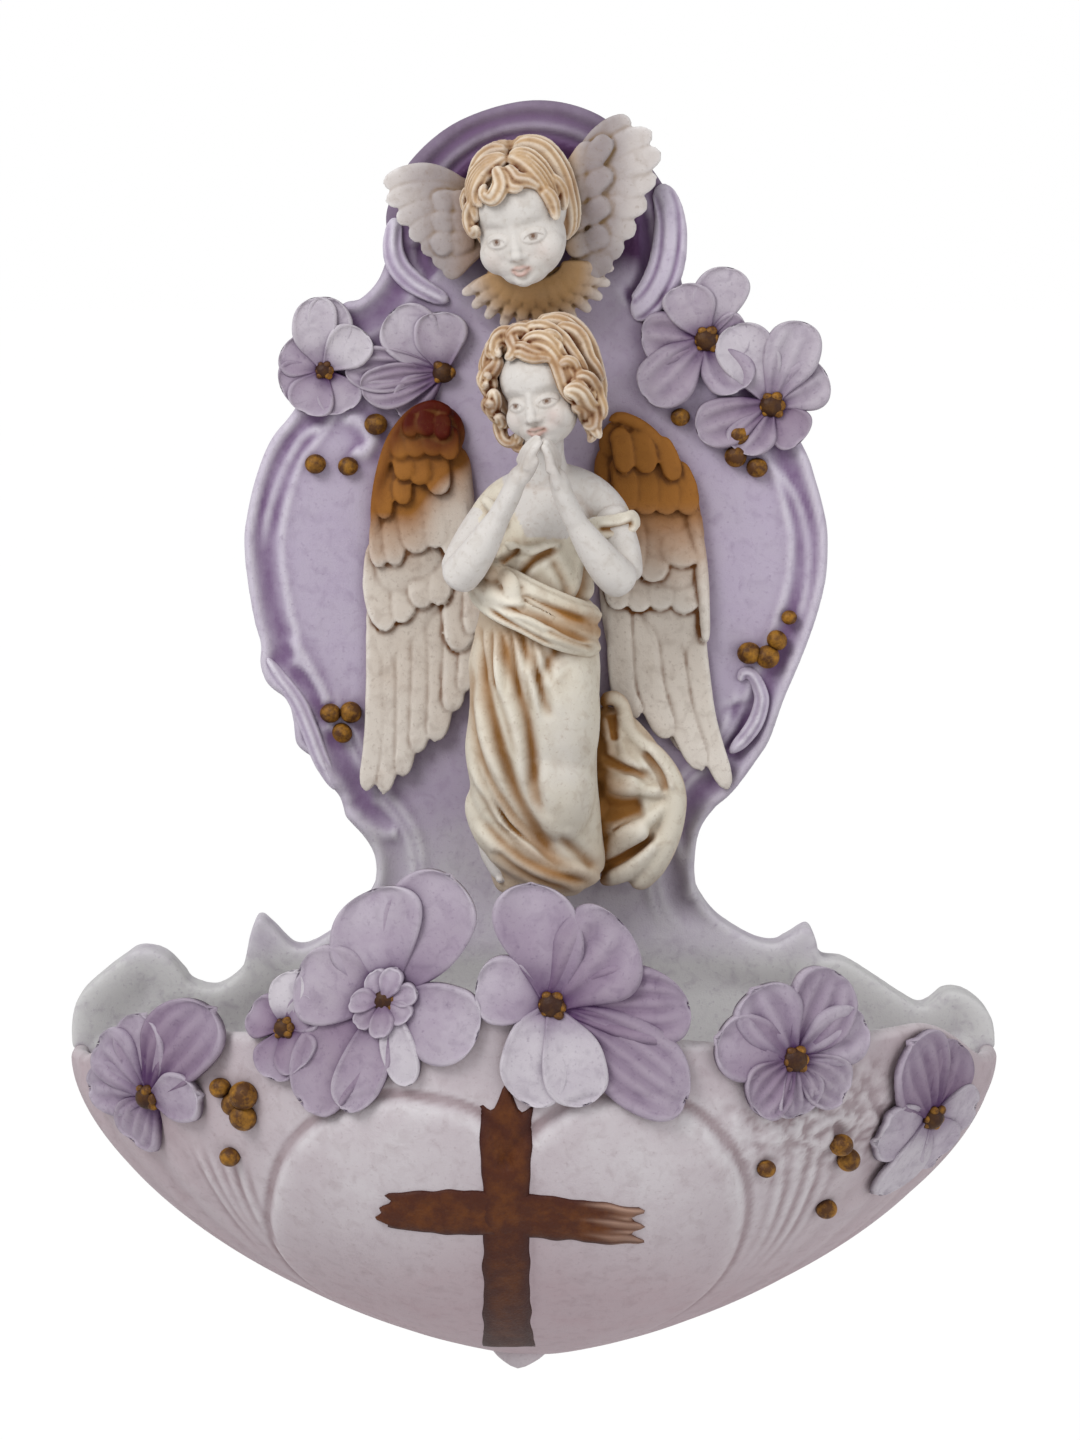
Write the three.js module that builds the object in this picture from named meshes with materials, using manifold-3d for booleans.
// A wall-hung holy water stoup in tinted biscuit porcelain: a cartouche backplate with a praying angel
// and a winged cherub head in high relief, and a deep shell basin edged with sprigged flowers.
// Every piece that a porcelain maker casts or presses by itself and lutes on with slip is its own solid.
// Millimetres. +Z is up, +X is the viewer's right, the wall is the plane y = 0 and the room is at -Y.
import * as THREE from 'three';
import { mergeVertices } from 'three/addons/utils/BufferGeometryUtils.js';
import Module from 'manifold-3d';

const wasm = await Module();
wasm.setup();

// Seams
const SEAM = 0.3; // slip seam left between two luted pieces
const FINEST_EDGE = 0.02; // shorter edges are closed up where pieces are trimmed
const BEDDING = 1.2; // how far a sprig sinks into the clay that carries it before it is trimmed

// Backplate
const PLATE_THICK = 9;
const BORDER_RADIUS = 3.2; // half the width of the roll moulding along the cartouche edge
const BORDER_RISE = 2.4; // how far the roll stands above the plate
const NECK_HALF_WIDTH = 34.8;
const NECK_ABOVE_RIM = 27.5; // narrowest place of the neck above the basin's rim
const CARTOUCHE_HALF_WIDTH = 62.8;
const CARTOUCHE_ABOVE_NECK = 70; // widest place of the cartouche above the neck
const ARCH_RADIUS = 31;
const ARCH_ABOVE_CARTOUCHE = 63.5; // arch centre above the widest place
const ARCH_RING_STEP = 7; // from the arch's edge roll to the next ring
const ARCH_RING_RADIUS = 1.6;
const HORN_X = 60;
const HORN_ABOVE_RIM = 14.5;
const BACK_LOBE_ABOVE_RIM = 6; // top of the two lobes that end the basin's back wall
const HANGING_HOLE_RADIUS = 4.5;
const HANGING_HOLE_FLOOR = 3; // clay left in front of the hole
const HANGING_HOLE_ABOVE_ARCH = 4; // hole centre above the arch centre

// Basin
const BASIN_HALF_WIDTH = 101;
const BASIN_REACH = 70; // from the plate to the rim at the front
const BASIN_RIM_Z = -78;
const BASIN_HEIGHT = 82; // from the tip to the rim
const BASIN_WALL = 6;
const BASIN_FLOOR_THICK = 34; // solid clay between the tip and the water
const BASIN_LOBE_SWELL = 4; // how far the two cushions beside the cross swell out
const RIM_CREST = 9; // how far the rim stands up behind the two centre flowers
const RIM_DIP = 12; // how far the rim drops between the front flowers and the back lobes
const PENDANT_RADIUS = 9;

// Angel
const HEM_BELOW_NECK = 3.5;
const ROBE_LENGTH = 64;
const BODICE_LENGTH = 21;
const HEAD_ABOVE_COLLAR = 22;
const HEAD_HALF_WIDTH = 10.5;
const HEAD_HALF_HEIGHT = 12.5;
const HEAD_FORWARD = 10; // head centre in front of the body's axis
const HANDS_FORWARD = 24; // fingertips in front of the body's axis
const ROBE_HALF_WIDTH = 13.8;
const ROBE_HALF_DEPTH = 12.5;
const ARM_RADIUS = 4.6;
const DRAPE_HALF_WIDTH = 9.5;
const DRAPE_HALF_THICK = 6.5;
const WING_DROP = 64; // from the collar down to the tips of the longest flight feathers
const WING_SPREAD = 42; // from the centre line to the outermost feather tip
const WING_SHOULDER_HALF_WIDTH = 6.5;
const WING_SHOULDER_HALF_THICK = 4.2;

// Cherub head
const CHERUB_OUT = 13.5; // head centre in front of the plate
const CHERUB_ABOVE_ARCH = 6; // head centre above the arch centre
const CHERUB_HALF_WIDTH = 11.5;
const CHERUB_HALF_HEIGHT = 13.5;

// Sprigs
const PLATE_PETAL_LENGTH = 16;
const PLATE_PETAL_HALF_WIDTH = 5;
const BASIN_PETAL_LENGTH = 20;
const BASIN_PETAL_HALF_WIDTH = 6;
const PETAL_HALF_THICK = 1.7;
const PETAL_OVER_ROLL = 1; // how far the plate's flowers are raised to lie over its border roll
const PETAL_LAP = 0.4; // how far every other petal is raised to lap over its neighbours
const HEART_RADIUS = 3.1;
const BERRY_RADIUS = 2.5;
const CROSS_HALF_WIDTH = 4.6;
const CROSS_RISE = 1.2; // how far the gilt cross stands above the basin wall

const finish = (color, roughness, metalness = 0) =>
  new THREE.MeshStandardMaterial({ color, roughness, metalness });
const FINISHES = {
  violet: finish(0xa898ac, 0.6),
  mauve: finish(0x9b879b, 0.6),
  basin: finish(0xb4a8ab, 0.55),
  flesh: finish(0xccc6bc, 0.5),
  cream: finish(0xc9b898, 0.6),
  hair: finish(0xad865e, 0.6),
  wing: finish(0xb28c6a, 0.6),
  down: finish(0xada49c, 0.6),
  gilt: finish(0x6b3d0c, 0.4, 0.6),
};

// Heights that follow from the lengths above
const NECK_Z = BASIN_RIM_Z + NECK_ABOVE_RIM;
const CARTOUCHE_WIDE_Z = NECK_Z + CARTOUCHE_ABOVE_NECK;
const ARCH_CENTRE_Z = CARTOUCHE_WIDE_Z + ARCH_ABOVE_CARTOUCHE;
const HORN_Z = BASIN_RIM_Z + HORN_ABOVE_RIM;
const BASIN_TIP_Z = BASIN_RIM_Z - BASIN_HEIGHT;
const HEM_Z = NECK_Z - HEM_BELOW_NECK;
const WAIST_Z = HEM_Z + ROBE_LENGTH;
const COLLAR_Z = WAIST_Z + BODICE_LENGTH;
const ANGEL_HEAD_Z = COLLAR_Z + HEAD_ABOVE_COLLAR;
const CHERUB_Z = ARCH_CENTRE_Z + CHERUB_ABOVE_ARCH;

const at = (x, out, z) => new THREE.Vector3(x, -out, z);
const ROOMWARD = at(0, 1, 0);
const UPWARD = at(0, 0, 1);
const turned = (degrees) => THREE.MathUtils.degToRad(degrees);
const onPlate = (x, z, above = 0) => at(x, PLATE_THICK + above, z);

// Solids

function solidFrom(geometry) {
  geometry.deleteAttribute('normal');
  geometry.deleteAttribute('uv');
  const merged = mergeVertices(geometry, 1e-4);
  const corners = [];
  for (let i = 0; i < merged.index.count; i += 3) {
    const triangle = [0, 1, 2].map((k) => merged.index.getX(i + k));
    if (new Set(triangle).size === 3) corners.push(...triangle);
  }
  return new wasm.Manifold(
    new wasm.Mesh({
      numProp: 3,
      vertProperties: merged.getAttribute('position').array,
      triVerts: new Uint32Array(corners),
      tolerance: FINEST_EDGE,
    }),
  );
}

function geometryFrom(solid) {
  const mesh = solid.getMesh();
  return new THREE.BufferGeometry()
    .setAttribute('position', new THREE.BufferAttribute(mesh.vertProperties, 3))
    .setIndex(new THREE.BufferAttribute(mesh.triVerts, 1));
}

const join = (solids) => solids.reduce((whole, next) => whole.add(next));

// An ellipsoid of clay.
function ball({ centre, radii, tilt = 0, sides = 10, rings = 7 }, grow = 0) {
  const geometry = new THREE.SphereGeometry(1, sides, rings);
  geometry.rotateX(Math.PI / 2);
  geometry.scale(...radii.map((radius) => radius + grow));
  geometry.rotateY(turned(tilt));
  geometry.translate(...centre);
  return solidFrom(geometry);
}

// A blade of clay along a path: halfWidth lies across it, halfThick along the way that it faces.
function blade({ path, facing, halfWidth, halfThick, sides = 8, rings = 6 }, grow = 0) {
  const curve = new THREE.CatmullRomCurve3(path, false, 'centripetal');
  const geometry = new THREE.CylinderGeometry(1, 1, 1, sides, rings);
  const place = geometry.getAttribute('position');
  for (let i = 0; i < place.count; i++) {
    const t = THREE.MathUtils.clamp(place.getY(i) + 0.5, 0, 1);
    const along = curve.getTangentAt(t);
    const face = facing.clone().addScaledVector(along, -facing.dot(along)).normalize();
    const across = along.clone().cross(face);
    const turn = Math.atan2(place.getZ(i), place.getX(i));
    const point = curve
      .getPointAt(t)
      .addScaledVector(across, place.getX(i) * (halfWidth(t, turn) + grow))
      .addScaledVector(face, place.getZ(i) * (halfThick(t, turn) + grow))
      .addScaledVector(along, (2 * t - 1) * grow);
    place.setXYZ(i, point.x, point.y, point.z);
  }
  return solidFrom(geometry);
}

// Widths along a blade: a leaf is fullest at peak, a limb runs evenly from one radius to another.
const leaf = (half, peak = 0.6, least = 0.22) => (t) => {
  const bulge = t < peak ? t / peak : (1 - t) / (1 - peak);
  return half * (least + (1 - least) * Math.sin((Math.PI / 2) * bulge));
};
const limb = (from, to, end = 0.45) => (t) =>
  (from + (to - from) * t) * (end + (1 - end) * Math.sqrt(Math.sin(Math.PI * (0.04 + 0.92 * t))));

// Luting: a new piece is trimmed to the pieces already there, with the seam between them.

const pieces = [];

function lute(name, material, build) {
  let body = build(0);
  for (const earlier of pieces) body = body.subtract(earlier.cutter);
  const lumps = body.decompose().sort((a, b) => b.volume() - a.volume());
  if (lumps.length === 0) throw new Error(`${name} is wholly inside the pieces that carry it`);
  pieces.push({ name, material, body: lumps[0], cutter: build(SEAM) });
}

// Basin surface

// Share of the full reach that the outside wall has at a level from 0 at the tip to 1 at the rim.
const BASIN_ROUNDNESS = 0.7;
const basinShare = (level) => Math.sin((Math.PI / 2) * Math.min(level, 1) ** BASIN_ROUNDNESS);
const DIP_ANGLE = turned(74);
const DIP_SPREAD = turned(11);
const CREST_ANGLE = turned(-8);
const CREST_SPREAD = turned(20);
const LOBE_ANGLE = turned(19);
const LOBE_SPREAD = turned(13);

const bump = (distance, spread) => Math.exp(-((distance / spread) ** 2));

// Height of the rim above its level at the front, at an angle round the basin.
function rimRise(angle) {
  const end = THREE.MathUtils.smoothstep(Math.abs(angle), DIP_ANGLE, Math.PI / 2);
  const crest = RIM_CREST * bump(angle - CREST_ANGLE, CREST_SPREAD);
  const dip = RIM_DIP * bump(Math.abs(angle) - DIP_ANGLE, DIP_SPREAD);
  return BACK_LOBE_ABOVE_RIM * end + crest - dip;
}

// How far the cushions swell the wall out, as a distance.
function cushion(angle, level) {
  const swell = Math.sin(Math.PI * THREE.MathUtils.clamp(level, 0, 1));
  return BASIN_LOBE_SWELL * bump(Math.abs(angle) - LOBE_ANGLE, LOBE_SPREAD) * swell;
}

// A point of the outside wall: angle 0 is the front, level runs from 0 at the tip to 1 at the rim.
function basinPoint(angle, level, above = 0) {
  const share = basinShare(level);
  const swell = cushion(angle, level) + above;
  return at(
    (BASIN_HALF_WIDTH * share + swell) * Math.sin(angle),
    PLATE_THICK + (BASIN_REACH * share + swell) * Math.cos(angle),
    BASIN_TIP_Z + BASIN_HEIGHT * level + rimRise(angle) * level ** 3,
  );
}

// The way that the wall faces there, leaned up for sprigs that look towards the room.
const basinFacing = (angle, lean) => at(Math.sin(angle), Math.cos(angle), lean).normalize();

// Backplate

const RIGHT_EDGE = [
  [CARTOUCHE_HALF_WIDTH - 19, CARTOUCHE_WIDE_Z + 46],
  [CARTOUCHE_HALF_WIDTH - 7, CARTOUCHE_WIDE_Z + 24],
  [CARTOUCHE_HALF_WIDTH, CARTOUCHE_WIDE_Z],
  [CARTOUCHE_HALF_WIDTH - 5, CARTOUCHE_WIDE_Z - 25],
  [NECK_HALF_WIDTH + 16, NECK_Z + 27],
  [NECK_HALF_WIDTH + 6.5, NECK_Z + 15],
  [NECK_HALF_WIDTH, NECK_Z],
  [NECK_HALF_WIDTH + 5.5, NECK_Z - 12],
  [HORN_X - 8, HORN_Z - 5],
  [HORN_X, HORN_Z],
];
const LEFT_EDGE = [
  [CARTOUCHE_HALF_WIDTH - 20, CARTOUCHE_WIDE_Z + 49],
  [CARTOUCHE_HALF_WIDTH - 6.5, CARTOUCHE_WIDE_Z + 23],
  [CARTOUCHE_HALF_WIDTH, CARTOUCHE_WIDE_Z],
  [CARTOUCHE_HALF_WIDTH - 3.5, CARTOUCHE_WIDE_Z - 21],
  [CARTOUCHE_HALF_WIDTH - 3, CARTOUCHE_WIDE_Z - 26],
  [CARTOUCHE_HALF_WIDTH - 9, CARTOUCHE_WIDE_Z - 34],
  [NECK_HALF_WIDTH + 16, NECK_Z + 26],
  [NECK_HALF_WIDTH + 7, NECK_Z + 13],
  [NECK_HALF_WIDTH, NECK_Z],
  [NECK_HALF_WIDTH + 6, NECK_Z - 13],
  [HORN_X - 8, HORN_Z - 6],
  [HORN_X, HORN_Z],
];

const EDGE_INSET = 1.5; // the back wall stays this far inside the basin's own outline
const LOBE_OUTLINE = [[0.6, 6], [0.45, 11], [0.3, 9], [0.15, 2], [0.05, 3], [0, 12]]; // share to the horn, drop

// From the tip of the basin up one side to the horn: the basin's outline, then the lobe and the saddle.
function lowerEdge(hornDrop) {
  const levels = [0.06, 0.2, 0.4, 0.6, 0.8];
  const wall = levels.map((level) => {
    const point = basinPoint(Math.PI / 2, level);
    return [point.x - EDGE_INSET, Math.max(point.z, BASIN_TIP_Z + EDGE_INSET)];
  });
  const end = BASIN_HALF_WIDTH - EDGE_INSET;
  const lobe = LOBE_OUTLINE.toReversed().map(([share, drop]) => [
    THREE.MathUtils.lerp(end, HORN_X, share),
    BASIN_RIM_Z + BACK_LOBE_ABOVE_RIM - drop - hornDrop * share,
  ]);
  return [...wall, ...lobe, [HORN_X + 3, HORN_Z - 7.5]];
}

const spline = (points, each) =>
  new THREE.SplineCurve(points.map(([x, z]) => new THREE.Vector2(x, z))).getPoints(each * (points.length - 1));

function halfOutline(edge, hornDrop) {
  const lower = spline([...lowerEdge(hornDrop), edge.at(-1)], 2);
  const arch = [];
  for (let degrees = -8; degrees <= 90; degrees += 14) {
    arch.push([
      ARCH_RADIUS * Math.cos(turned(degrees)),
      ARCH_CENTRE_Z + ARCH_RADIUS * Math.sin(turned(degrees)),
    ]);
  }
  const upper = spline([...edge.toReversed(), ...arch], 2);
  return [...lower.slice(0, -1), ...upper];
}

// The plate's outline, anticlockwise as the viewer sees it, moved out by grow.
function plateOutline(grow = 0) {
  const right = halfOutline(RIGHT_EDGE, 1);
  const left = halfOutline(LEFT_EDGE, 0).map((point) => new THREE.Vector2(-point.x, point.y));
  const loop = [new THREE.Vector2(0, BASIN_TIP_Z + EDGE_INSET), ...right, ...left.reverse().slice(1)];
  return loop.map((point, i) => {
    const along = loop[(i + 1) % loop.length].clone().sub(loop.at(i - 1)).normalize();
    return new THREE.Vector2(point.x + along.y * grow, point.y - along.x * grow);
  });
}

// How far the cartouche's edge, or a line kept within it, is from the centre at a height above the neck.
function edgeReach(side, z, within = 0) {
  const edge = plateOutline(-within).filter(({ x, y }) => side * x > 0 && y > NECK_Z - BORDER_RADIUS);
  edge.sort((a, b) => a.y - b.y);
  const above = edge.findIndex(({ y }) => y >= z);
  const [low, high] = [edge[above - 1], edge[above]];
  return side * THREE.MathUtils.mapLinear(z, low.y, high.y, low.x, high.x);
}

// A slab of the outline from the wall to the plate's front.
function slab(grow) {
  const geometry = new THREE.ExtrudeGeometry(new THREE.Shape(plateOutline(grow)), {
    depth: PLATE_THICK + grow,
    bevelEnabled: false,
  });
  geometry.rotateX(Math.PI / 2);
  return solidFrom(geometry);
}

// The roll moulding round the cartouche, from one side of the neck over the arch to the other.
function borderRoll(grow) {
  const outline = plateOutline(-BORDER_RADIUS).filter((point) => point.y > NECK_Z + 6);
  const path = outline.filter((_, i) => i % 2 === 0).map((point) => onPlate(point.x, point.y));
  return blade(
    {
      path,
      facing: ROOMWARD,
      halfWidth: () => BORDER_RADIUS,
      halfThick: () => BORDER_RISE,
      sides: 6,
      rings: 32,
    },
    grow,
  );
}

function archRing(grow) {
  const radius = ARCH_RADIUS - 2 * BORDER_RADIUS - ARCH_RING_STEP;
  const path = [10, 40, 70, 100, 130, 160].map((degrees) =>
    onPlate(radius * Math.cos(turned(degrees)), ARCH_CENTRE_Z + radius * Math.sin(turned(degrees))),
  );
  const half = () => ARCH_RING_RADIUS;
  return blade({ path, facing: ROOMWARD, halfWidth: half, halfThick: half, sides: 6, rings: 10 }, grow);
}

// The blind hole in the back that drops over a wall hook.
function hangingHole() {
  const geometry = new THREE.CylinderGeometry(
    HANGING_HOLE_RADIUS,
    HANGING_HOLE_RADIUS,
    2 * (PLATE_THICK - HANGING_HOLE_FLOOR),
    16,
  );
  geometry.translate(0, 0, ARCH_CENTRE_Z + HANGING_HOLE_ABOVE_ARCH);
  return solidFrom(geometry);
}

lute('backplate', FINISHES.violet, (grow) =>
  join([slab(grow), borderRoll(grow), archRing(grow)]).subtract(hangingHole()),
);

// Basin

function basin(grow) {
  const outside = [0, 0.05, 0.12, 0.22, 0.34, 0.48, 0.64, 0.82, 1].map((level) => [level, false]);
  const inside = [1, 0.8, 0.55, 0.3, 0.1, 0].map((level) => [level, true]);
  const points = [...outside, ...inside].map((_, i) => new THREE.Vector2(i + 1, i));
  const segments = 44;
  const geometry = new THREE.LatheGeometry(points, segments);
  const place = geometry.getAttribute('position');
  const rows = [...outside, ...inside];
  for (let i = 0; i < place.count; i++) {
    const [level, within] = rows[i % rows.length];
    const angle = (2 * Math.PI * Math.floor(i / rows.length)) / segments;
    const round = angle > Math.PI ? angle - 2 * Math.PI : angle;
    const point = within ? waterPoint(round, level, grow) : wallPoint(round, level, grow);
    place.setXYZ(i, point.x, point.y, point.z);
  }
  const behind = new THREE.BoxGeometry(4 * BASIN_HALF_WIDTH, 4 * BASIN_REACH, 4 * BASIN_HEIGHT);
  behind.translate(0, 2 * BASIN_REACH - PLATE_THICK - SEAM + grow, BASIN_TIP_Z);
  return solidFrom(geometry).subtract(solidFrom(behind));
}

function wallPoint(angle, level, grow) {
  const point = basinPoint(angle, level, level > 0 ? grow : 0);
  point.z += grow * (2 * level - 1);
  return point;
}

// A point of the bowl that holds the water, level 0 at its floor and 1 at the rim.
function waterPoint(angle, level, grow) {
  const rim = basinPoint(angle, 1);
  const floorZ = BASIN_TIP_Z + BASIN_FLOOR_THICK;
  const share = Math.sin((Math.PI / 2) * Math.sqrt(level));
  return at(
    (BASIN_HALF_WIDTH - BASIN_WALL - grow) * share * Math.sin(angle),
    PLATE_THICK + (BASIN_REACH - BASIN_WALL - grow) * share * Math.cos(angle),
    THREE.MathUtils.lerp(floorZ, rim.z, level ** 1.2) + grow,
  );
}

lute('basin', FINISHES.basin, basin);

lute('pendant', FINISHES.basin, (grow) =>
  ball(
    {
      centre: at(0, PLATE_THICK + PENDANT_RADIUS / 3, BASIN_TIP_Z + BEDDING),
      radii: [PENDANT_RADIUS, PENDANT_RADIUS / 1.5, PENDANT_RADIUS / 2],
    },
    grow,
  ),
);

// Angel

const BODY_OUT = PLATE_THICK + ROBE_HALF_DEPTH - BEDDING;
const ROBE_FOLDS = 7;
const FOLD_DEPTH = 0.07;

// The skirt of the robe, swung over the standing leg, with its main folds running down and across.
function robe(grow) {
  const fold = (t, turn) => 1 + FOLD_DEPTH * Math.cos(ROBE_FOLDS * turn + 4 * t) * Math.sin(Math.PI * t);
  const girth = (t) => 0.78 + 0.3 * Math.sin(Math.PI * (0.12 + 0.8 * t));
  return blade(
    {
      path: [
        at(5, BODY_OUT, HEM_Z),
        at(2.5, BODY_OUT, HEM_Z + ROBE_LENGTH * 0.25),
        at(-0.5, BODY_OUT, HEM_Z + ROBE_LENGTH * 0.62),
        at(1.5, BODY_OUT, WAIST_Z),
      ],
      facing: ROOMWARD,
      halfWidth: (t, turn) => ROBE_HALF_WIDTH * girth(t) * fold(t, turn),
      halfThick: (t, turn) => ROBE_HALF_DEPTH * girth(t) * fold(t, turn),
      sides: 18,
      rings: 7,
    },
    grow,
  );
}
lute('robe', FINISHES.cream, robe);

// Chest, shoulders and neck in one casting.
function bodice(grow) {
  const trunk = blade(
    {
      path: [at(1.5, BODY_OUT, WAIST_Z), at(3, BODY_OUT, (WAIST_Z + COLLAR_Z) / 2), at(4.5, BODY_OUT, COLLAR_Z)],
      facing: ROOMWARD,
      halfWidth: (t) => ROBE_HALF_WIDTH * (0.8 + 0.25 * Math.sin(Math.PI * t)),
      halfThick: (t) => ROBE_HALF_DEPTH * (0.95 - 0.1 * t),
      sides: 12,
      rings: 4,
    },
    grow,
  );
  const shoulders = ball(
    { centre: at(5, BODY_OUT - 1, COLLAR_Z - 4), radii: [ROBE_HALF_WIDTH + 1.5, 9, 7], tilt: 6 },
    grow,
  );
  const neck = blade(
    {
      path: [
        at(4, BODY_OUT + 2, COLLAR_Z - 4),
        at(2, BODY_OUT + HEAD_FORWARD - 3, ANGEL_HEAD_Z - HEAD_HALF_HEIGHT + 2),
      ],
      facing: ROOMWARD,
      halfWidth: () => 5,
      halfThick: () => 5,
      rings: 1,
    },
    grow,
  );
  return join([trunk, shoulders, neck]);
}
lute('bodice', FINISHES.cream, bodice);

const HEAD_TILT = -11; // the head leans to the viewer's left
const HEAD_CENTRE = at(0.7, BODY_OUT + HEAD_FORWARD, ANGEL_HEAD_Z);

// A plain head: skull, jaw and nose.
function head(centre, halfWidth, halfHeight, tilt, grow) {
  const lean = turned(tilt);
  const down = (length) => at(-length * Math.sin(lean), 0, -length * Math.cos(lean));
  const skull = ball({ centre, radii: [halfWidth, halfWidth, halfHeight * 0.86], tilt }, grow);
  const jaw = ball(
    {
      centre: centre.clone().add(down(halfHeight * 0.42)).addScaledVector(ROOMWARD, halfWidth * 0.3),
      radii: [halfWidth * 0.72, halfWidth * 0.68, halfHeight * 0.58],
      tilt,
    },
    grow,
  );
  const nose = ball(
    {
      centre: centre.clone().add(down(halfHeight * 0.28)).add(at(-halfWidth * 0.22, halfWidth * 0.98, 0)),
      radii: [halfWidth * 0.13, halfWidth * 0.16, halfHeight * 0.16],
      tilt,
      sides: 6,
      rings: 4,
    },
    grow,
  );
  return join([skull, jaw, nose]);
}
lute('angel_head', FINISHES.flesh, (grow) =>
  head(HEAD_CENTRE, HEAD_HALF_WIDTH, HEAD_HALF_HEIGHT, HEAD_TILT, grow),
);

const HAIR_THICK = 3; // how far the locks stand off the skull
const CURL_RADIUS = 4.2;

// A cap of hair open over the face, with rolled curls set round it at the given angles from the crown.
function hair(centre, halfWidth, halfHeight, tilt, curlAngles, grow) {
  const cap = ball(
    {
      centre: centre.clone().addScaledVector(ROOMWARD, -1.5).add(at(0, 0, 1)),
      radii: [halfWidth + HAIR_THICK, halfWidth + HAIR_THICK - 1, halfHeight * 0.86 + HAIR_THICK],
      tilt,
      sides: 10,
      rings: 6,
    },
    grow,
  );
  const face = ball({
    centre: centre.clone().add(at(-halfWidth * 0.2, halfWidth * 1.5, -halfHeight * 0.55)),
    radii: [halfWidth * 0.86, halfWidth * 1.45, halfHeight * 1.06],
    tilt,
  });
  const curls = curlAngles.map((degrees, i) => {
    const angle = turned(degrees + tilt);
    return ball(
      {
        centre: centre
          .clone()
          .add(at((halfWidth + 1.5) * Math.sin(angle), 2 + 2 * (i % 2), (halfHeight + 0.5) * Math.cos(angle))),
        radii: [CURL_RADIUS, CURL_RADIUS, CURL_RADIUS * 0.9],
        sides: 6,
        rings: 4,
      },
      grow,
    );
  });
  return join([cap.subtract(face), ...curls]);
}
lute('angel_hair', FINISHES.hair, (grow) =>
  hair(
    HEAD_CENTRE,
    HEAD_HALF_WIDTH,
    HEAD_HALF_HEIGHT,
    HEAD_TILT,
    [-55, -14, 30, 70, 108, 145, -100],
    grow,
  ),
);

// An arm from the shoulder down to the elbow and up to the fingertips of the praying hand.
function arm(shoulder, elbow, wrist, fingertips, grow) {
  const upper = blade(
    {
      path: [shoulder, elbow],
      facing: ROOMWARD,
      halfWidth: limb(ARM_RADIUS * 1.1, ARM_RADIUS),
      halfThick: limb(ARM_RADIUS * 1.1, ARM_RADIUS),
      sides: 7,
      rings: 3,
    },
    grow,
  );
  const fore = blade(
    {
      path: [elbow, elbow.clone().lerp(wrist, 0.5), wrist],
      facing: ROOMWARD,
      halfWidth: limb(ARM_RADIUS * 1.05, ARM_RADIUS * 0.66, 0.6),
      halfThick: limb(ARM_RADIUS * 1.05, ARM_RADIUS * 0.66, 0.6),
      sides: 7,
      rings: 3,
    },
    grow,
  );
  const hand = blade(
    {
      path: [wrist.clone().lerp(elbow, 0.12), wrist.clone().lerp(fingertips, 0.5), fingertips],
      facing: ROOMWARD.clone().applyAxisAngle(UPWARD, turned(wrist.x < fingertips.x ? -50 : 50)),
      halfWidth: leaf(ARM_RADIUS * 0.75, 0.45),
      halfThick: leaf(ARM_RADIUS * 0.42, 0.4),
      sides: 6,
      rings: 3,
    },
    grow,
  );
  return join([upper, fore, hand]);
}
const HANDS_OUT = BODY_OUT + HANDS_FORWARD;
lute('arm_left', FINISHES.flesh, (grow) =>
  arm(
    at(-7, BODY_OUT + 1, COLLAR_Z - 4),
    at(-15.5, BODY_OUT + 13, WAIST_Z + 3.5),
    at(-3.5, HANDS_OUT - 3, COLLAR_Z + 0.5),
    at(1.4, HANDS_OUT, COLLAR_Z + 12),
    grow,
  ),
);
lute('arm_right', FINISHES.flesh, (grow) =>
  arm(
    at(17, BODY_OUT, COLLAR_Z - 5),
    at(18.5, BODY_OUT + 12, WAIST_Z + 2.5),
    at(6, HANDS_OUT - 3, COLLAR_Z - 1),
    at(3, HANDS_OUT, COLLAR_Z + 12),
    grow,
  ),
);

// The twisted cloth round the waist, from a knot at the viewer's left down to the right hip.
lute('sash', FINISHES.cream, (grow) =>
  blade(
    {
      path: [
        at(-ROBE_HALF_WIDTH + 2, BODY_OUT + ROBE_HALF_DEPTH * 0.4, WAIST_Z + 5),
        at(-5, BODY_OUT + ROBE_HALF_DEPTH - 0.5, WAIST_Z + 1),
        at(5, BODY_OUT + ROBE_HALF_DEPTH, WAIST_Z - 4),
        at(ROBE_HALF_WIDTH + 0.5, BODY_OUT + ROBE_HALF_DEPTH * 0.4, WAIST_Z - 8),
      ],
      facing: ROOMWARD,
      halfWidth: leaf(5.6, 0.35, 0.5),
      halfThick: leaf(3.6, 0.4, 0.4),
      sides: 8,
      rings: 6,
    },
    grow,
  ),
);

const DRAPE_OUT = PLATE_THICK + DRAPE_HALF_THICK - BEDDING;

// The end of the robe that blows out to the viewer's right and trails down to the hem.
lute('trailing_drape', FINISHES.cream, (grow) =>
  blade(
    {
      path: [
        at(ROBE_HALF_WIDTH * 0.86, DRAPE_OUT + 2, HEM_Z + ROBE_LENGTH * 0.66),
        at(ROBE_HALF_WIDTH * 1.43, DRAPE_OUT + 1, HEM_Z + ROBE_LENGTH * 0.5),
        at(ROBE_HALF_WIDTH * 1.9, DRAPE_OUT, HEM_Z + ROBE_LENGTH * 0.3),
        at(ROBE_HALF_WIDTH * 1.8, DRAPE_OUT, HEM_Z + ROBE_LENGTH * 0.125),
        at(ROBE_HALF_WIDTH * 0.93, DRAPE_OUT + 2, HEM_Z - ROBE_LENGTH * 0.016),
      ],
      facing: ROOMWARD,
      halfWidth: leaf(DRAPE_HALF_WIDTH, 0.62, 0.25),
      halfThick: leaf(DRAPE_HALF_THICK, 0.6, 0.4),
      sides: 10,
      rings: 9,
    },
    grow,
  ),
);

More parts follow.
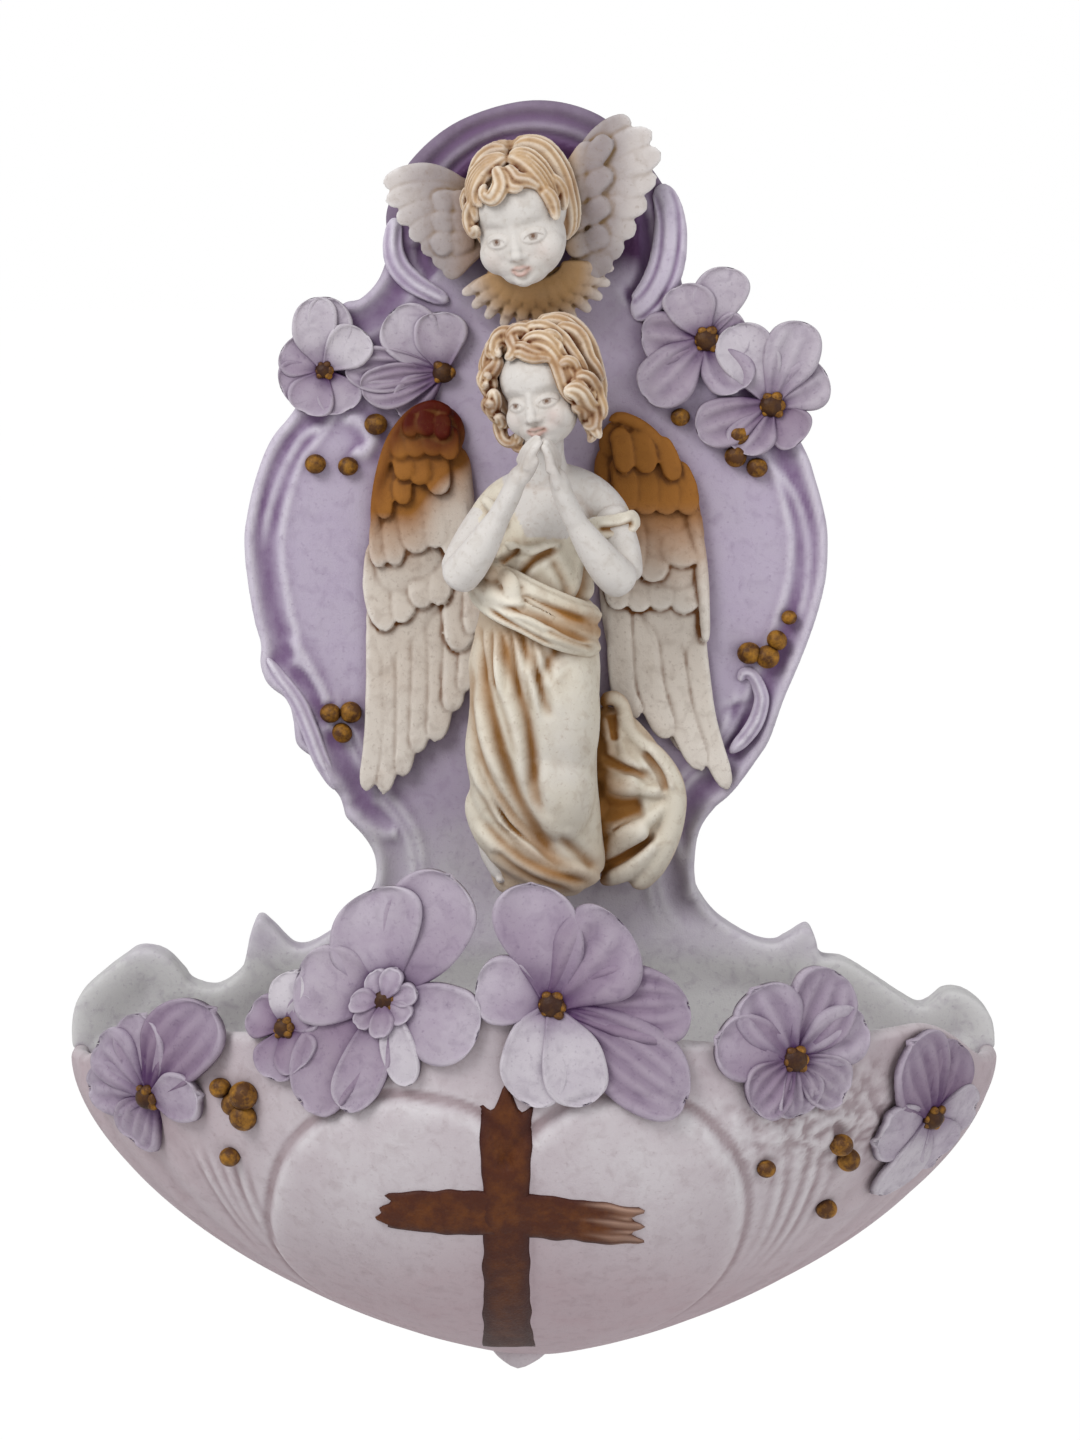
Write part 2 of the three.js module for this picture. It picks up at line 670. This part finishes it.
lute('toe', FINISHES.flesh, (grow) =>
  ball(
    {
      centre: at(5 - ROBE_HALF_WIDTH, BODY_OUT + 6, HEM_Z + 3.5),
      radii: [3.2, 6, 3],
      sides: 8,
      rings: 5,
    },
    grow,
  ),
);

// Wings

const FEATHER_HALF_THICK = 1.8;
const FLIGHT_HALF_WIDTH = 4.6;
const COVERT_HALF_WIDTH = 5.2;

// One feather from root to tip, laid on the plate or on the feathers under it.
const feather = (root, tip, half, thick) => ({
  path: [root, root.clone().lerp(tip, 0.5), tip],
  facing: ROOMWARD,
  halfWidth: leaf(half, 0.72, 0.5),
  halfThick: leaf(thick, 0.4, 0.6),
  sides: 4,
  rings: 3,
});

// A folded wing of the angel: the shoulder of the wing, long flight feathers and shorter coverts.
// Places are shares of the spread and, from the collar, of the drop; a feather has its root, then its tip.
const ANGEL_WINGS = {
  left: {
    shoulder: [[-0.29, 0.12], [-0.48, 0.19], [-0.64, 0.03], [-0.71, -0.17]],
    flight: [
      [-0.74, -0.27, -0.8, -1],
      [-0.62, -0.3, -0.65, -0.98],
      [-0.51, -0.33, -0.51, -0.81],
      [-0.4, -0.36, -0.39, -0.67],
    ],
    coverts: [[-0.71, -0.05, -0.79, -0.48], [-0.57, -0.05, -0.61, -0.45], [-0.43, -0.11, -0.43, -0.48]],
  },
  right: {
    shoulder: [[0.31, 0.11], [0.45, 0.17], [0.63, 0.03], [0.74, -0.17]],
    flight: [
      [0.76, -0.23, 0.99, -1],
      [0.64, -0.3, 0.83, -0.94],
      [0.52, -0.33, 0.65, -0.86],
      [0.43, -0.36, 0.5, -0.77],
    ],
    coverts: [[0.74, -0.05, 0.82, -0.48], [0.6, -0.05, 0.67, -0.44], [0.45, -0.08, 0.5, -0.45]],
  },
};
const WING_RISE = 2.2; // feather roots above the plate
function angelWing({ shoulder, flight, coverts }, grow) {
  const arch = {
    path: shoulder.map(([x, z]) => onPlate(WING_SPREAD * x, COLLAR_Z + WING_DROP * z, WING_RISE)),
    facing: ROOMWARD,
    halfWidth: leaf(WING_SHOULDER_HALF_WIDTH, 0.4, 0.5),
    halfThick: leaf(WING_SHOULDER_HALF_THICK, 0.4, 0.5),
    rings: 6,
  };
  const row = (feathers, above, half) =>
    feathers.map(([x, z, tipX, tipZ]) =>
      feather(
        onPlate(WING_SPREAD * x, COLLAR_Z + WING_DROP * z, above + 1),
        onPlate(WING_SPREAD * tipX, COLLAR_Z + WING_DROP * tipZ, above - 0.6),
        half,
        FEATHER_HALF_THICK,
      ),
    );
  const all = [
    arch,
    ...row(flight, WING_RISE - 1, FLIGHT_HALF_WIDTH),
    ...row(coverts, WING_RISE + 0.4, COVERT_HALF_WIDTH),
  ];
  return join(all.map((one) => blade(one, grow)));
}
lute('wing_left', FINISHES.wing, (grow) => angelWing(ANGEL_WINGS.left, grow));
lute('wing_right', FINISHES.wing, (grow) => angelWing(ANGEL_WINGS.right, grow));

// Cherub

const CHERUB_TILT = -12;
const CHERUB_X = -2.5;
const CHERUB_CENTRE = onPlate(CHERUB_X, CHERUB_Z, CHERUB_OUT);
lute('cherub_head', FINISHES.flesh, (grow) =>
  head(CHERUB_CENTRE, CHERUB_HALF_WIDTH, CHERUB_HALF_HEIGHT, CHERUB_TILT, grow),
);
lute('cherub_hair', FINISHES.hair, (grow) =>
  hair(
    CHERUB_CENTRE,
    CHERUB_HALF_WIDTH,
    CHERUB_HALF_HEIGHT,
    CHERUB_TILT,
    [-88, -30, 5, 42, 84],
    grow,
  ),
);

// Feathers fan out from the cherub's neck: each is a root, a tip and a half width beside the head.
const CHERUB_WINGS = {
  left: [[-8, 4, -28.5, 8.5, 4.6], [-8, 1, -25.5, 0.5, 4], [-8, -3, -22, -6.5, 3.6], [-6, -6, -16.5, -12, 3.4]],
  right: [
    [9, 6, 25, 20.5, 4.6],
    [9, 5, 31, 16.5, 4.4],
    [9, 2, 27.5, 6.5, 4.2],
    [8, -1, 24.5, -1, 3.8],
    [8, -4, 20, -7, 3.4],
  ],
};
const CHERUB_WING_RISE = 4;
function cherubWing(feathers, grow) {
  const blades = feathers.map(([x, z, tipX, tipZ, half]) =>
    feather(
      onPlate(CHERUB_X + x, CHERUB_Z + z, CHERUB_WING_RISE),
      onPlate(CHERUB_X + tipX, CHERUB_Z + tipZ, CHERUB_WING_RISE),
      half,
      2.6,
    ),
  );
  const root = ball(
    {
      centre: onPlate(CHERUB_X + feathers[1][0] * 1.3, CHERUB_Z, CHERUB_WING_RISE - 1),
      radii: [7, CHERUB_WING_RISE + 1, 8],
      sides: 8,
      rings: 5,
    },
    grow,
  );
  return join([root, ...blades.map((one) => blade(one, grow))]);
}
lute('cherub_wing_left', FINISHES.down, (grow) => cherubWing(CHERUB_WINGS.left, grow));
lute('cherub_wing_right', FINISHES.down, (grow) => cherubWing(CHERUB_WINGS.right, grow));

// The collar of short feathers under the cherub's chin.
const RUFF_ANGLES = [-50, -17, 17, 50];
const RUFF_LENGTH = 11;
lute('cherub_ruff', FINISHES.down, (grow) => {
  const throat = onPlate(CHERUB_X + 2, CHERUB_Z - CHERUB_HALF_HEIGHT + 2, 3);
  const feathers = RUFF_ANGLES.map((degrees) => {
    const way = at(Math.sin(turned(degrees)), -0.12, -Math.cos(turned(degrees)));
    return feather(throat, throat.clone().addScaledVector(way, RUFF_LENGTH), 3.4, 2.8);
  });
  return join(feathers.map((one) => blade(one, grow)));
});

// Scrolls on the plate

// The upper scrolls hang from the arch, and the lower ones keep inside the edge at their own height.
const fromArch = (side, points) => points.map(([dx, dz]) => [side * (ARCH_RADIUS + dx), ARCH_CENTRE_Z + dz]);
const alongEdge = (side, points) =>
  points.map(([inset, rise]) => [side * (edgeReach(side, NECK_Z + rise) - inset), NECK_Z + rise]);
const edgeRun = (side, top, foot, inset) =>
  plateOutline(-inset)
    .filter(({ x, y }) => side * x > 0 && y < NECK_Z + top && y > NECK_Z + foot)
    .map(({ x, y }) => [x, y]);
const SCROLL_BESIDE_ROLL = 2.6; // from the middle of the border roll in to the middle of the scroll
const SCROLLS = {
  scroll_upper_left: fromArch(-1, [[-1, 4], [-0.5, -6], [-8, -11.5], [-18, -16]]),
  scroll_upper_right: fromArch(1, [[-2, 13], [-1, 0], [-4, -10], [-9, -14], [-12, -10]]),
  scroll_lower_left: edgeRun(-1, 46, 12, BORDER_RADIUS + SCROLL_BESIDE_ROLL),
  scroll_lower_right: alongEdge(1, [[12.4, 41], [11.1, 42.6], [9.2, 41.6], [7.1, 36], [6.5, 29], [6.6, 24.5]]),
};
const SCROLL_HALF_WIDTH = 3;
const SCROLL_RISE = 2.6;
for (const [name, points] of Object.entries(SCROLLS)) {
  lute(name, FINISHES.violet, (grow) =>
    blade(
      {
        path: points.map(([x, z]) => onPlate(x, z, BEDDING / 2)),
        facing: ROOMWARD,
        halfWidth: leaf(SCROLL_HALF_WIDTH, 0.6, 0.4),
        halfThick: leaf(SCROLL_RISE, 0.6, 0.5),
        sides: 6,
        rings: 8,
      },
      grow,
    ),
  );
}

// Flowers

// Petals lie round a heart, each [angle from the viewer's right in degrees, length, half width].
function flowerHead({ heart, facing, petals, lift = 1 }, grow) {
  const right = UPWARD.clone().cross(facing).normalize();
  const up = facing.clone().cross(right);
  const blades = petals.map(([degrees, length, half], i) => {
    const lapped = PETAL_LAP * (i % 2);
    const way = right
      .clone()
      .multiplyScalar(Math.cos(turned(degrees)))
      .addScaledVector(up, Math.sin(turned(degrees)));
    const along = (share, above) =>
      heart.clone().addScaledVector(way, length * share).addScaledVector(facing, above);
    return {
      path: [along(-0.04, lapped), along(0.55, lift + lapped), along(1, lift * 0.2 + lapped)],
      facing,
      halfWidth: leaf(half, 0.66, 0.3),
      halfThick: leaf(PETAL_HALF_THICK, 0.5, 0.6),
      sides: 4,
      rings: 3,
    };
  });
  return join(blades.map((one) => blade(one, grow)));
}

// The gilt dome that closes a flower, standing on the petals.
const HEART_SEAT = 2.5; // from the flower's own plane up to the dome's flat foot
const heartDome = ({ heart, facing }, radius, grow) =>
  blade(
    {
      path: [HEART_SEAT, HEART_SEAT + radius].map((above) => heart.clone().addScaledVector(facing, above)),
      facing: UPWARD,
      halfWidth: (t) => radius * Math.sqrt(1.04 - t * t),
      halfThick: (t) => radius * Math.sqrt(1.04 - t * t),
      sides: 7,
      rings: 3,
    },
    grow,
  );

// Sprigs on the plate are placed by how far they are inside its edge and above its widest place.
const inEdge = (side, inset, rise, above) =>
  onPlate(side * (edgeReach(side, CARTOUCHE_WIDE_Z + rise) - inset), CARTOUCHE_WIDE_Z + rise, above);
const sized = (petals, length, half) =>
  petals.map(([degrees, long, wide]) => [degrees, long * length, wide * half]);
const plateFlower = (side, inset, rise, petals) => ({
  heart: inEdge(side, inset, rise, BEDDING + PETAL_OVER_ROLL),
  facing: ROOMWARD,
  petals: sized(petals, PLATE_PETAL_LENGTH, PLATE_PETAL_HALF_WIDTH),
});
const basinFlower = (degrees, level, lean, turn, petals) => ({
  heart: basinPoint(turned(degrees), level, BEDDING),
  facing: basinFacing(turned(turn), lean),
  petals: sized(petals, BASIN_PETAL_LENGTH, BASIN_PETAL_HALF_WIDTH),
});

// Each petal: its angle, then its length and half width as shares of the usual petal's.
const FLOWERS = {
  flower_plate_outer_left: plateFlower(-1, 4.7, 37.5, [
    [104, 0.94, 0.8], [80, 0.94, 0.8], [52, 0.69, 0.8], [204, 0.56, 0.8], [246, 0.56, 0.8], [297, 0.56, 0.8],
  ]),
  flower_plate_inner_left: plateFlower(-1, 30.5, 37, [
    [175, 1.25, 0.88], [196, 1.12, 0.84], [214, 0.81, 0.8], [132, 1.06, 1.1], [95, 0.81, 1],
  ]),
  flower_plate_inner_right: plateFlower(1, 8.2, 44, [
    [78, 1, 1], [114, 0.81, 0.92], [180, 0.88, 1.1], [222, 1.12, 1.2], [300, 0.81, 1], [12, 0.5, 0.8],
  ]),
  flower_plate_outer_right: plateFlower(1, 2.1, 30, [
    [111, 1.19, 1.1], [72, 1.19, 1], [30, 0.81, 0.92], [311, 0.62, 0.8], [198, 1.06, 0.92],
  ]),
  flower_basin_left_end: basinFlower(-53, 0.83, 0.1, -40, [
    [131, 0.85, 0.92], [88, 0.8, 1], [52, 1.2, 1.17], [171, 0.8, 0.83], [228, 0.6, 0.83], [5, 0.7, 0.73],
  ]),
  flower_basin_left_centre: basinFlower(-17, 1.06, 0.2, -10, [
    [100, 1.15, 1.42], [57, 1.35, 1.42], [160, 0.95, 1.17], [218, 1.2, 1.17], [253, 1, 0.7], [338, 0.95, 1],
  ]),
  flower_basin_right_centre: basinFlower(2, 1.06, 0.2, 2, [
    [97, 1.2, 1.25], [49, 1.2, 1.25], [14, 1.4, 1.17], [338, 1.5, 1.25],
    [292, 1, 1], [252, 1.15, 1.17], [172, 0.75, 1],
  ]),
  flower_basin_right: basinFlower(31, 0.98, 0.15, 23, [
    [120, 0.85, 1.08], [55, 1, 1.25], [160, 0.85, 1.08], [22, 0.9, 1],
    [222, 0.65, 0.83], [284, 0.55, 0.75], [330, 0.75, 0.83],
  ]),
  flower_basin_right_end: basinFlower(57.5, 0.77, 0.05, 42, [
    [127, 0.9, 1.08], [74, 0.75, 1], [12, 0.65, 0.83], [316, 0.6, 0.77], [258, 0.8, 0.83], [195, 0.65, 0.83],
  ]),
};
for (const [name, flower] of Object.entries(FLOWERS)) {
  lute(name, FINISHES.mauve, (grow) => flowerHead(flower, grow));
  lute(name.replace('flower', 'heart'), FINISHES.gilt, (grow) => heartDome(flower, HEART_RADIUS, grow));
}

// The ring of small round lobes that stands round the heart of the left centre flower.
const CORONA_RADIUS = 6;
const CORONA_LOBES = 7;
const CORONA_HALF_THICK = 1.3;
lute('corona_basin_left_centre', FINISHES.mauve, (grow) => {
  const { heart, facing } = FLOWERS.flower_basin_left_centre;
  const lobed = (t, turn) => CORONA_RADIUS * (0.9 + 0.12 * Math.cos(CORONA_LOBES * turn));
  return blade(
    {
      path: [HEART_SEAT, HEART_SEAT + 2 * CORONA_HALF_THICK].map((above) =>
        heart.clone().addScaledVector(facing, above),
      ),
      facing: UPWARD,
      halfWidth: lobed,
      halfThick: lobed,
      sides: 3 * CORONA_LOBES,
      rings: 1,
    },
    grow,
  );
});

// A half-open bud that stands on the rim between the two left flowers, with its gilt throat.
const BUD = {
  heart: basinPoint(turned(-31), 1.04, BEDDING),
  facing: basinFacing(turned(-25), 0.2),
  petals: sized(
    [[85, 0.5, 0.67], [250, 0.45, 0.73], [300, 0.4, 0.67], [150, 0.35, 0.67]],
    BASIN_PETAL_LENGTH,
    BASIN_PETAL_HALF_WIDTH,
  ),
};
lute('bud_basin', FINISHES.mauve, (grow) => flowerHead(BUD, grow));
lute('heart_bud', FINISHES.gilt, (grow) => heartDome(BUD, HEART_RADIUS * 0.8, grow));

// Berries

const BERRY_SINK = 0.35; // share of a berry's radius that its centre stands above the clay
// A berry and the ones that touch it, offset to the right and up along the clay in berry radii.
const cluster = (first, right, up, beside) =>
  [[0, 0], ...beside].map(([across, along]) =>
    first
      .clone()
      .addScaledVector(right, BERRY_RADIUS * across)
      .addScaledVector(up, BERRY_RADIUS * along),
  );
const plateCluster = (first, ...beside) => cluster(first, at(1, 0, 0), UPWARD, beside);
const plateBerries = (side, inset, rise, ...beside) =>
  plateCluster(inEdge(side, inset, rise, BERRY_RADIUS * BERRY_SINK), ...beside);
const basinBerries = (degrees, level, ...beside) => {
  const angle = turned(degrees);
  const step = 0.01;
  const right = basinPoint(angle + step, level).sub(basinPoint(angle, level)).normalize();
  const up = basinPoint(angle, level + step).sub(basinPoint(angle, level)).normalize();
  return cluster(basinPoint(angle, level, BERRY_RADIUS * BERRY_SINK), right, up, beside);
};
const BERRY_BESIDE_SCROLL = 3.4; // from the middle of the lower left scroll to the first of its berries
const LOW_BERRY_Z = CARTOUCHE_WIDE_Z - 37.2;
const besideScroll = onPlate(
  -edgeReach(-1, LOW_BERRY_Z, BORDER_RADIUS + SCROLL_BESIDE_ROLL + BERRY_BESIDE_SCROLL),
  LOW_BERRY_Z,
  BERRY_RADIUS * BERRY_SINK,
);
const BERRIES = {
  berry_left_top: plateBerries(-1, 21.1, 26),
  berry_left_outer: plateBerries(-1, 12.1, 17.5),
  berry_left_inner: plateBerries(-1, 18.7, 17),
  berries_left_low: plateCluster(besideScroll, [1.4, 0.1], [0.8, -1.2]),
  berry_right_top: plateBerries(1, 23.1, 27),
  berries_right_top: plateBerries(1, 12.8, 22.5, [-0.2, -1.4]),
  berry_right_inner: plateBerries(1, 10.4, 16.7),
  berries_right_low: plateBerries(1, 10.4, -23.3, [1.5, 0.75], [1.2, -0.7]),
  berry_right_outer: plateBerries(1, 7.6, -15.5),
  berries_basin_left: basinBerries(-39.5, 0.86, [1.2, -0.9], [1.4, -2.3]),
  berry_basin_left: basinBerries(-41, 0.68),
  berry_basin_right_inner: basinBerries(29, 0.69),
  berries_basin_right: basinBerries(40.5, 0.72, [0.7, -1.4]),
  berry_basin_right_low: basinBerries(44, 0.53),
};
for (const [name, centres] of Object.entries(BERRIES)) {
  lute(name, FINISHES.gilt, (grow) =>
    join(
      centres.map((centre) =>
        ball({ centre, radii: [BERRY_RADIUS, BERRY_RADIUS, BERRY_RADIUS], sides: 7, rings: 4 }, grow),
      ),
    ),
  );
}

// Cross

// Two bars that follow the swell of the basin, with ends that flare to a point.
const CROSS_ANGLE = turned(-3);
const CROSS_TOP_LEVEL = 0.83;
const CROSS_FOOT_LEVEL = 0.13;
const CROSS_ARM_LEVEL = 0.56;
const CROSS_ARM_SPREAD = turned(15);
function cross(grow) {
  const flare = (t) => CROSS_HALF_WIDTH * (0.86 + 0.5 * Math.abs(t - 0.5) ** 1.5);
  const bar = (path) => ({
    path,
    facing: basinFacing(CROSS_ANGLE, -0.4),
    halfWidth: flare,
    halfThick: () => CROSS_RISE + BEDDING,
    sides: 8,
    rings: 8,
  });
  const levels = [0, 0.25, 0.5, 0.75, 1].map((t) => THREE.MathUtils.lerp(CROSS_FOOT_LEVEL, CROSS_TOP_LEVEL, t));
  const angles = [-1, -0.5, 0, 0.5, 1].map((t) => CROSS_ANGLE + t * CROSS_ARM_SPREAD);
  const upright = bar(levels.map((level) => basinPoint(CROSS_ANGLE, level)));
  const arms = bar(angles.map((angle) => basinPoint(angle, CROSS_ARM_LEVEL)));
  return join([blade(upright, grow), blade(arms, grow)]);
}
lute('cross', FINISHES.gilt, cross);

const stoup = new THREE.Group();
stoup.name = 'holy_water_stoup';
for (const { name, material, body } of pieces) {
  const mesh = new THREE.Mesh(geometryFrom(body), material);
  mesh.name = name;
  stoup.add(mesh);
}

export default stoup;
